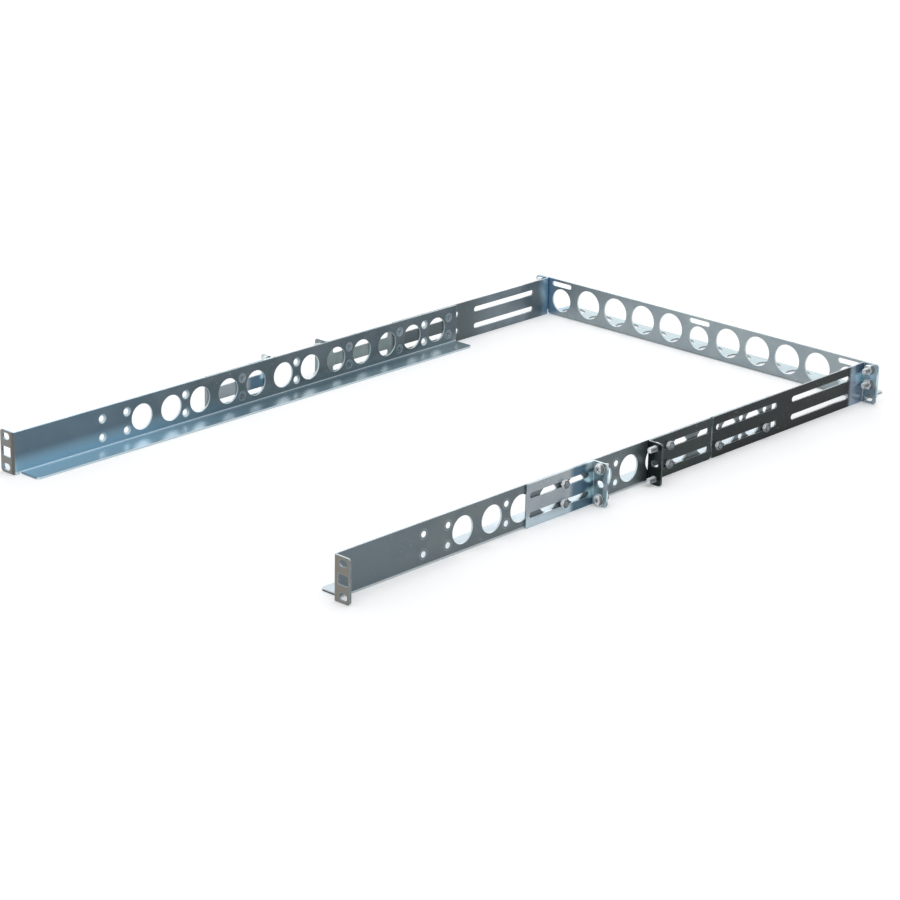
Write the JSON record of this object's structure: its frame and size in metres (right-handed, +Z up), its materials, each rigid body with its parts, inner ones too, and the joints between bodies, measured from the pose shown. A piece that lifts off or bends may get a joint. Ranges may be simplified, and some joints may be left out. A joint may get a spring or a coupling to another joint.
{
  "type": "fixed rack rail pair",
  "caption": "Pair of L-shaped sheet-steel equipment rails with slotted adjustable brackets, rack ears and a perforated rear tie bar.",
  "frame": {"origin": "middle of the front rack holes, midway between the two rails, on the front face of the rails' ears", "axes": "+X to the right rail, +Y to the rear, +Z up"},
  "size_m": [0.4826, 0.835, 0.044],
  "materials": {
    "zinc_rail": "bright zinc plate, semi-gloss",
    "zinc_bracket": "bright zinc plate, semi-gloss",
    "zinc_bar": "bright zinc plate, semi-gloss",
    "zinc_fastener": "bright zinc plate, glossy"
  },
  "bodies": {
    "rear_frame": {"tie_bar": "zinc_bar", "left_rear_bracket": "zinc_bracket", "left_bar_bolts": "zinc_fastener", "left_bar_nuts": "zinc_fastener", "right_rear_bracket": "zinc_bracket", "right_bar_bolts": "zinc_fastener", "right_bar_nuts": "zinc_fastener"},
    "left_rail_body": {"left_rail": "zinc_rail", "left_front_clamp_screws": "zinc_fastener", "left_front_clamp_nuts": "zinc_fastener", "left_middle_clamp_screws": "zinc_fastener", "left_middle_clamp_nuts": "zinc_fastener", "left_rear_clamp_screws": "zinc_fastener", "left_rear_clamp_nuts": "zinc_fastener"},
    "left_front_mid_body": {"left_front_mid_bracket": "zinc_bracket", "left_front_mid_rack_screws": "zinc_fastener", "left_front_mid_washers": "zinc_fastener"},
    "left_rear_mid_body": {"left_rear_mid_bracket": "zinc_bracket", "left_rear_mid_rack_screws": "zinc_fastener", "left_rear_mid_washers": "zinc_fastener"},
    "right_rail_body": {"right_rail": "zinc_rail", "right_front_clamp_screws": "zinc_fastener", "right_front_clamp_nuts": "zinc_fastener", "right_middle_clamp_screws": "zinc_fastener", "right_middle_clamp_nuts": "zinc_fastener", "right_rear_clamp_screws": "zinc_fastener", "right_rear_clamp_nuts": "zinc_fastener"},
    "right_front_mid_body": {"right_front_mid_bracket": "zinc_bracket", "right_front_mid_rack_screws": "zinc_fastener", "right_front_mid_washers": "zinc_fastener"},
    "right_rear_mid_body": {"right_rear_mid_bracket": "zinc_bracket", "right_rear_mid_rack_screws": "zinc_fastener", "right_rear_mid_washers": "zinc_fastener"}
  },
  "joints": [
    {"name": "left_rail_slide", "type": "slide", "parent": "rear_frame", "child": "left_rail_body", "axis": [0, 1, 0], "range_m": [0, 0.016]},
    {"name": "left_front_mid_slide", "type": "slide", "parent": "left_rail_body", "child": "left_front_mid_body", "axis": [0, 1, 0], "range_m": [-0.032, 0.02]},
    {"name": "left_rear_mid_slide", "type": "slide", "parent": "rear_frame", "child": "left_rear_mid_body", "axis": [0, 1, 0], "range_m": [-0.018, 0.001]},
    {"name": "right_rail_slide", "type": "slide", "parent": "rear_frame", "child": "right_rail_body", "axis": [0, 1, 0], "range_m": [0, 0.016]},
    {"name": "right_front_mid_slide", "type": "slide", "parent": "right_rail_body", "child": "right_front_mid_body", "axis": [0, 1, 0], "range_m": [-0.032, 0.02]},
    {"name": "right_rear_mid_slide", "type": "slide", "parent": "rear_frame", "child": "right_rear_mid_body", "axis": [0, 1, 0], "range_m": [-0.018, 0.001]}
  ]
}
